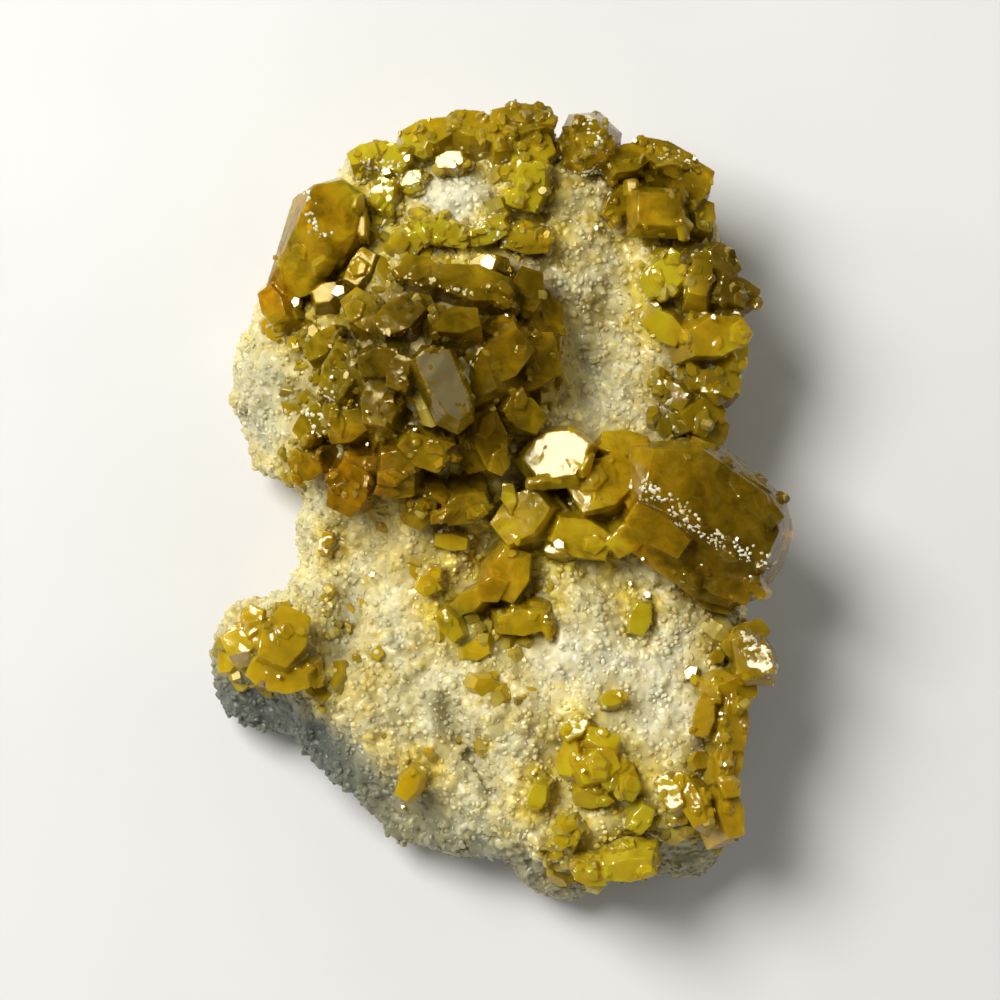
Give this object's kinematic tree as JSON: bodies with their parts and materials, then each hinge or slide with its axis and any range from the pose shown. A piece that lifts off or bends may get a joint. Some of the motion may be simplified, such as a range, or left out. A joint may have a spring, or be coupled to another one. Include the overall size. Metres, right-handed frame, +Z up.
{
  "type": "mineral specimen",
  "caption": "Boot-shaped piece of drusy rock set with golden tabular barite crystals, lying on its flat back as a loose display piece.",
  "frame": {"origin": "on the flat back that it rests on, under the middle of its bounding box", "axes": "+Z up from the flat back to the crystals, +Y from the lower lobe to the upper lobe, +X to the side of the big dark crystal"},
  "size_m": [0.0453, 0.0613, 0.0248],
  "materials": {
    "pale_druse": "satin",
    "golden_barite": "gloss"
  },
  "bodies": {
    "root": {"rock": "pale_druse", "single_low_centre": "golden_barite", "single_low_right": "golden_barite", "single_low_left": "golden_barite", "single_right": "golden_barite", "single_waist_low": "golden_barite", "single_waist_high": "golden_barite", "single_left": "golden_barite", "single_left_low": "golden_barite", "single_mid_low": "golden_barite", "rosette": "golden_barite", "central_band": "golden_barite", "upper_left_crystals": "golden_barite", "upper_rim_crystals": "golden_barite", "bowl_edge_crystals": "golden_barite", "upper_right_crystals": "golden_barite", "right_rim_crystals": "golden_barite", "left_corner_crystals": "golden_barite", "yellow_ball": "golden_barite", "right_edge_crystals": "golden_barite", "lower_edge_crystals": "golden_barite"}
  },
  "joints": []
}
